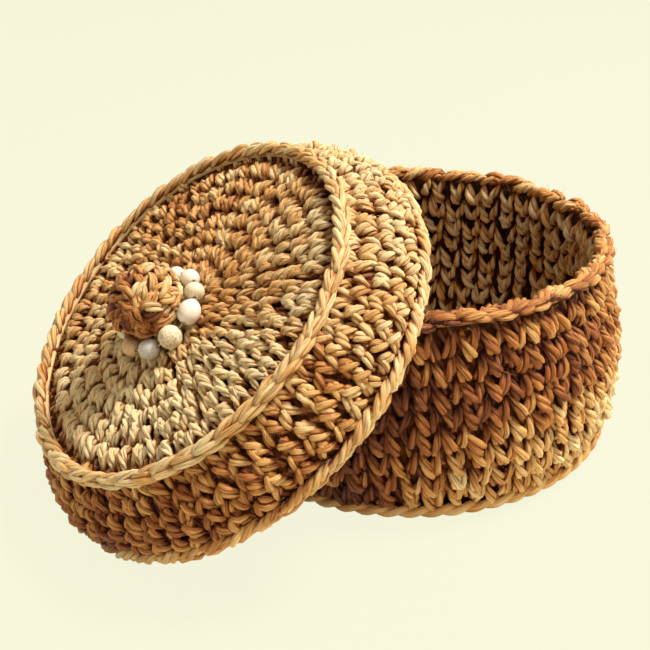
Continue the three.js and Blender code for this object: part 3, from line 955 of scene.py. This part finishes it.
def make_skirt():
    outline = through([
        (corner.outside, skirt.top - SKIRT_LAP),
        ((corner.outside + edge.outside) / 2 + SKIRT_BULGE, skirt.level),
        (edge.outside, skirt.bottom - SKIRT_LAP),
    ])
    outer = moved(outline, -SKIRT_CORD.thickness)
    inner = moved(outline, SKIRT_LINING_SINK_SHARE * THIN_CORD.thickness - SKIRT_THICKNESS)
    work = Cordwork("skirt_stitches", PLAIN_RESOLUTION)
    behind = Cordwork("skirt_back_strands", PLAIN_RESOLUTION)

    def tone(row, turns):
        # Darker on the low side and paler across from it: partly dye, partly painted shade
        dark = (SKIRT_DYE_AND_SHADE_DEPTH + SKIRT_DYE_AND_SHADE_STEP * row) * facing(SKIRT_DYE_AND_SHADE_TURN, turns)
        return SKIRT_TONE + dark + wave(SKIRT_WAVE, row, turns)

    face = Face(on_lid, outer, -1)
    rows = [SKIRT_STITCHES] * SKIRT_ROWS
    lay_stitches(
        [work], face, rows, SKIRT_CORD, tone, SKIRT_SLIP_SHARE, back=behind, spread=SKIRT_SPREAD_SHARE,
    )
    lay_fuzz(behind, face, SKIRT_CORD, SKIRT_FUZZ)
    material = grass("skirt_grass", DEEP_SHADE_TAN)
    work.made("lid", ["lid_skirt"], "skirt_cord", material)
    behind.made("lid", [], "skirt_cord", material)
    under = Cordwork("skirt_lining_stitches", PLAIN_RESOLUTION)
    lining = Face(on_lid, inner, 1)
    rows = [SKIRT_LINING_STITCHES] * SKIRT_ROWS
    lay_stitches([under], lining, rows, THIN_CORD, plain(HIDDEN_TONE))
    under.made("lid", [], "skirt_cord", grass("skirt_lining_grass"))
    bed("skirt_bed", outer, inner, on_lid, "lid", "skirt_cord", SKIRT_BED_SHARES)


def make_edge():
    work = Cordwork("edge_plait")
    outline, depth = arc(edge, EDGE_CORD, EDGE_ARC, EDGE_FULLNESS)

    def tone(row, turns):
        # Darker on the skirt's low side: partly dye, partly painted shade
        return EDGE_TONE + EDGE_DYE_AND_SHADE_DEPTH * facing(SKIRT_DYE_AND_SHADE_TURN, turns) + wave(EDGE_WAVE, row, turns)

    lay_plait(work, Face(on_lid, outline, 1), depth, LID_LINKS, EDGE_CORD, tone, EDGE_WIDTH_SHARE)
    work.made("lid", ["edge_braid"], "edge_cord", grass("edge_grass"))


# Knob: rounds of stitches that start at a whorl on its near side, darker away from the light
KNOB_POLE = Vector((-0.657, -0.712, 0.248))
KNOB_SHADE = np.array((-0.757, 0.165, -0.633))
KNOB_TONE = 0.55
KNOB_SHADE_DEPTH = 0.36
KNOB_DYE_SPREAD = 0.16
KNOB_SINK_SHARE = 0.4
KNOB_CORE_SINK_SHARE = 0.3
KNOB_CORE_DIVISIONS = 4
KNOB_SLANT_SHARE = 0.4
KNOB_LEG_SHARES = (1.6, 1.3, 0.6, 1)


def make_knob():
    squash = Matrix.Diagonal((1, 1, (knob.top - knob.bottom) / 2 / knob.outside, 1))
    turn_pole = KNOB_POLE.to_track_quat("Z", "Y").to_matrix().to_4x4()
    centre = on_knob @ Vector((0, 0, knob.level))
    place = Matrix.Translation(centre) @ lid_turn @ squash @ lid_turn.inverted() @ turn_pole
    ball_radius = knob.outside - KNOB_SINK_SHARE * KNOB_CORD.thickness

    def outline(alongs):
        angle = math.pi * alongs
        return ball_radius * np.sin(angle), ball_radius * np.cos(angle)

    work = Cordwork("knob_stitches")
    face = Face(place, outline, -1)

    # A stitch's tone: its dye and a random spread, with shade painted darker away from the light
    def dye(turns, alongs):
        _, outward = face.at(turns, alongs, np.zeros(len(turns)))
        shade = KNOB_SHADE_DEPTH * outward @ KNOB_SHADE
        return KNOB_TONE + shade + random_draw.normal(0, KNOB_DYE_SPREAD, len(turns))

    for row, (share, stitches) in enumerate(KNOB_ROUNDS):
        turns = (np.arange(stitches) + KNOB_SLANT_SHARE * row) / stitches
        alongs = np.full(stitches, share)
        steps = np.full(stitches, 1 / stitches)
        for leg_shares in (FRONT_LEG_SHARES, SIDE_LEG_SHARES):
            shares = leg_shares * KNOB_LEG_SHARES
            tones = dye(turns, alongs)
            lay(work, face, turns, alongs, steps, KNOB_ROUND_STEP, shares, KNOB_CORD, tones, KNOB_SLIP_SHARE)
    lay_fuzz(work, face, KNOB_CORD, KNOB_FUZZ)
    work.made("lid", ["knob_cover"], "knob_cord", grass("knob_grass", DEEP_SHADE_TAN))
    core = bmesh.new()
    core_radius = ball_radius - KNOB_CORE_SINK_SHARE * KNOB_CORD.thickness
    bmesh.ops.create_icosphere(core, subdivisions=KNOB_CORE_DIVISIONS, radius=core_radius, matrix=place)
    mesh = bpy.data.meshes.new("knob_bed")
    core.to_mesh(mesh)
    core.free()
    placed("knob_bed", mesh, "lid", [], "knob_cord", felt("knob_fibre", KNOB_FIBRE))


# Tie: a flat knot wound from near the middle outwards, and two ends that rise through the lid
TIE_POST_RADIUS = 0.7 * MM
TIE_TONES = np.array([0.4, 0.45])
TIE_END_TURNS = np.array([0.1, 0.6])
TIE_END_TWIST = 0.5
TAPER = 9
END_TIP_SHARE = 0.01
END_POINTS = 12
SPIRAL_TURNS = 2.2
SPIRAL_START_SHARE = 0.2
SPIRAL_REACH_SHARE = 0.62
SPIRAL_POINTS = 60
SPIRAL_SHARES = np.array([
    (SPIRAL_TURNS * s, SPIRAL_START_SHARE + SPIRAL_REACH_SHARE * s, 0.0, min(1, TAPER * s, TAPER * (1 - s)))
    for s in np.linspace(0, 1, SPIRAL_POINTS)
])
END_SHARES = np.array([
    (TIE_END_TWIST * s, s, 0.0, min(1, TAPER * (1 - s) + END_TIP_SHARE))
    for s in np.linspace(0, 1, END_POINTS)
])


def make_tie():
    """The cord ends through the lid, wound into a flat knot under it."""
    work = Cordwork("tie_knot")
    radius = tie.outside - 0.5 * TIE_CORD.thickness
    level = tie.bottom + 0.5 * TIE_CORD.thickness
    knot = Face(on_knob, disc(radius / SPIRAL_SHARES[-1, 1], level), 1)
    start = np.zeros(1)
    lay(work, knot, start, start, np.ones(1), 1, SPIRAL_SHARES, TIE_CORD, TIE_TONES[:1], 0)
    ends = Face(on_knob, post(TIE_POST_RADIUS, level, tie.top - level), 1)
    lay(work, ends, TIE_END_TURNS, np.zeros(2), np.ones(2), 1, END_SHARES, TIE_CORD, TIE_TONES, 0)
    work.made("lid", ["knob_tie"], "tie_cord", grass("tie_grass"))


# Beads: each finish's pale and dark colours and its roughness
SEED_FINISHES = {
    "seed_white": ("e6ddcc", "d8ccb6", 0.3),
    "seed_cream": ("e2d6ba", "cbb88e", 0.45),
    "seed_pearl": ("e6d9ce", "dccabb", 0.22),
    "seed_speckled": ("e4d6b8", "a3875a", 0.6),
    "seed_grey": ("c4bfba", "a8a09a", 0.35),
    "seed_tan": ("cfa982", "a67e55", 0.5),
}
SEED_PLACES = (0.32, 0.56)
SEED_FINE_SCALE = 1900
SEED_BROAD_SCALE = 260
SEED_FINE_SHARE = 0.6
SEED_BROAD_SHARE = 0.4
SEED_ROUGHNESS_SPREAD = 0.2
SEED_BUMP_SHARE = 0.25
SEED_RELIEF = 0.08 * MM
BEAD_SLOTS = {row["node"]: row["material_slot"] for row in frame["record"]["subparts"]}
BEAD_NODES = [node for node in BEAD_SLOTS if node.startswith("bead_")]
BEAD_STEPS = 40

# A bead's hole, and its form: how far along it in lengths and how far out in half widths
BEAD_HOLE = 0.55 * MM
BEAD_LIP_SHARE = 1.1
BEAD_END_SHARES = (-0.47, 0.5)
BEAD_SHARES = (
    (-0.49, 0.2), (-0.47, 0.36), (-0.43, 0.54), (-0.37, 0.71), (-0.28, 0.86), (-0.17, 0.96), (-0.05, 1.0),
    (0.07, 0.99), (0.18, 0.92), (0.28, 0.79), (0.36, 0.63), (0.43, 0.45), (0.48, 0.26),
)


def seed_finish(name, slot):
    pale, dark, rough = SEED_FINISHES[slot]
    finish = Finish(name)
    place = finish.node("ShaderNodeTexCoord", {}, {}, "Object")
    fine = finish.noise(place, SEED_FINE_SCALE, detail=4)
    broad = finish.noise(place, SEED_BROAD_SCALE, detail=2)
    specks = SEED_FINE_SHARE * fine + SEED_BROAD_SHARE * broad
    base = finish.ramp(specks, list(zip(SEED_PLACES, (dark, pale))))
    finish.feed(finish.shader.inputs["Base Color"], base)
    finish.feed(finish.shader.inputs["Roughness"], rough + (broad - 0.5) * SEED_ROUGHNESS_SPREAD)
    finish.bump(fine, SEED_BUMP_SHARE, SEED_RELIEF)
    return finish.material


def make_beads():
    back = on_knob.inverted()
    for node in BEAD_NODES:
        corners = [back @ v.co for v in frame["nodes"][node].data.vertices]
        middle = sum(corners, Vector()) / len(corners)
        tangent = Vector((-middle.y, middle.x, 0)).normalized()
        reaches = [(c - middle).dot(tangent) for c in corners]
        length = max(reaches) - min(reaches)
        middle += tangent * (max(reaches) + min(reaches)) / 2
        half = max(((c - middle) - tangent * (c - middle).dot(tangent)).length for c in corners)
        lip = BEAD_LIP_SHARE * BEAD_HOLE
        profile = [(BEAD_HOLE, BEAD_END_SHARES[0] * length)]
        profile += [(max(half * out, lip), length * along) for along, out in BEAD_SHARES]
        profile += [(BEAD_HOLE, BEAD_END_SHARES[1] * length)]
        turn_bead = tangent.to_track_quat("Z", "Y").to_matrix().to_4x4()
        place = on_knob @ Matrix.Translation(middle) @ turn_bead
        slot = BEAD_SLOTS[node]
        finish = seed_finish(node + "_finish", slot)
        spun(node.replace("bead", "seed"), profile, place, "bead_strand", [node], slot, finish, BEAD_STEPS)


def make_hidden():
    """The stuffing stays as the frame gives it."""
    piece = frame["nodes"]["knob_stuffing"]
    piece.data.materials.clear()
    piece.data.materials.append(felt("stuffing_fibre", STUFFING_FIBRE))


# Studio: paper under and behind, soft air, and lamps with their direction, distance, size, power and tint
BACKDROP = "f5f5db"
FLOOR_SIZE = 6.0
FLOOR_SINK = 0.2 * MM
PAPER_SHOWN_SHARE = 0.97
AIR_TINT = (1.0, 0.88, 0.69, 1)
AIR_STRENGTH = 0.38
Lamp = namedtuple("Lamp", "name direction distance size power tint")
LAMPS = (
    Lamp("key", (0.5, -0.2, 1.0), 1.2, 0.35, 26, (1.0, 0.95, 0.86)),
    Lamp("fill", (-0.3, -0.8, 1.0), 1.4, 1.0, 4.0, (1.0, 0.94, 0.84)),
)


def seen_directly(finish):
    """One for rays that show a thing to the camera, in a mirror or through glass, nought for its light."""
    kinds = ("Is Camera Ray", "Is Glossy Ray", "Is Transmission Ray")
    rays = [finish.node("ShaderNodeLightPath", {}, {}, kind) for kind in kinds]
    settings = {"operation": "ADD", "use_clamp": True}
    return finish.node("ShaderNodeMath", settings, {0: rays[0] + rays[1], 1: rays[2]})


def make_studio():
    sheet = bmesh.new()
    bmesh.ops.create_grid(sheet, x_segments=1, y_segments=1, size=FLOOR_SIZE)
    mesh = bpy.data.meshes.new("studio_floor")
    sheet.to_mesh(mesh)
    sheet.free()
    ground = bpy.data.objects.new("studio_floor", mesh)
    bpy.context.scene.collection.objects.link(ground)
    ground.location.z = -FLOOR_SINK
    finish = Finish("studio_paper")
    finish.shader.inputs["Base Color"].default_value = colour(BACKDROP)
    finish.shader.inputs["Roughness"].default_value = 1
    finish.shader.inputs["Specular IOR Level"].default_value = 0
    glow = finish.node("ShaderNodeEmission", {}, {"Color": colour(BACKDROP), "Strength": 1.0})
    lit = Signal(finish, finish.shader.outputs["BSDF"])
    shown_share = seen_directly(finish) * PAPER_SHOWN_SHARE
    finish.feed(finish.surface, finish.node("ShaderNodeMixShader", {}, {0: shown_share, 1: lit, 2: glow}))
    mesh.materials.append(finish.material)
    world = bpy.data.worlds.new("studio_air")
    bpy.context.scene.world = world
    world.use_nodes = True
    air = Finish.over(world.node_tree)
    light = air.node("ShaderNodeBackground", {}, {"Color": AIR_TINT, "Strength": AIR_STRENGTH})
    shown = air.node("ShaderNodeBackground", {}, {"Color": colour(BACKDROP), "Strength": 1.0})
    chosen = air.node("ShaderNodeMixShader", {}, {0: seen_directly(air), 1: light, 2: shown})
    air.feed(air.nodes["World Output"].inputs["Surface"], chosen)


def make_lamps():
    for lamp in LAMPS:
        data = bpy.data.lights.new(lamp.name, "AREA")
        data.shape = "DISK"
        data.size = lamp.size
        data.energy = lamp.power
        data.color = lamp.tint
        light = bpy.data.objects.new(lamp.name, data)
        bpy.context.scene.collection.objects.link(light)
        heading = Vector(lamp.direction).normalized()
        light.location = heading * lamp.distance
        light.rotation_euler = heading.to_track_quat("Z", "Y").to_euler()


def make_camera():
    data = bpy.data.cameras.new("camera")
    data.sensor_width = SENSOR_WIDTH
    data.lens = SENSOR_WIDTH * FOCAL_PIXELS / PHOTO_PIXELS
    data.clip_start = CLIP_START
    camera = bpy.data.objects.new("camera", data)
    bpy.context.scene.collection.objects.link(camera)
    bpy.context.scene.camera = camera
    level = math.cos(CAMERA_ELEVATION)
    outward = Vector((
        level * math.cos(CAMERA_AZIMUTH), level * math.sin(CAMERA_AZIMUTH), math.sin(CAMERA_ELEVATION),
    ))
    aim = Vector((0, 0, rim.top / 2))
    ray = Vector((
        (AIM_PIXEL_X - PHOTO_PIXELS / 2) / FOCAL_PIXELS, (AIM_PIXEL_Y - PHOTO_PIXELS / 2) / FOCAL_PIXELS, 1,
    )).normalized()
    pan = math.atan2(ray.x, ray.z)
    tilt = math.asin(ray.y)
    facing_in = outward.to_track_quat("Z", "Y").to_matrix().to_4x4()
    camera.matrix_world = (
        Matrix.Translation(aim + outward * CAMERA_DISTANCE) @ facing_in
        @ Matrix.Rotation(tilt, 4, "X") @ Matrix.Rotation(pan, 4, "Y")
    )


FOOT_ROPE_TONE = 0.46
THREAD_TONE = 0.1

make_camera()
make_wall()
make_rim()
make_rope("foot_cord_rope", foot, on_box, FOOT_ROPE_TURNS, "box", "foot_rope", "foot_cord", FOOT_ROPE_TONE)
make_floor()
make_lid_top()
make_corner()
make_skirt()
make_edge()
make_knob()
make_tie()
make_rope(
    "thread", strand_ring, on_knob, THREAD_TURNS, "bead_strand", "strand_cord", "strand_thread", THREAD_TONE,
)
make_beads()
make_hidden()
make_studio()
make_lamps()
bpy.context.scene.view_settings.view_transform = "Standard"
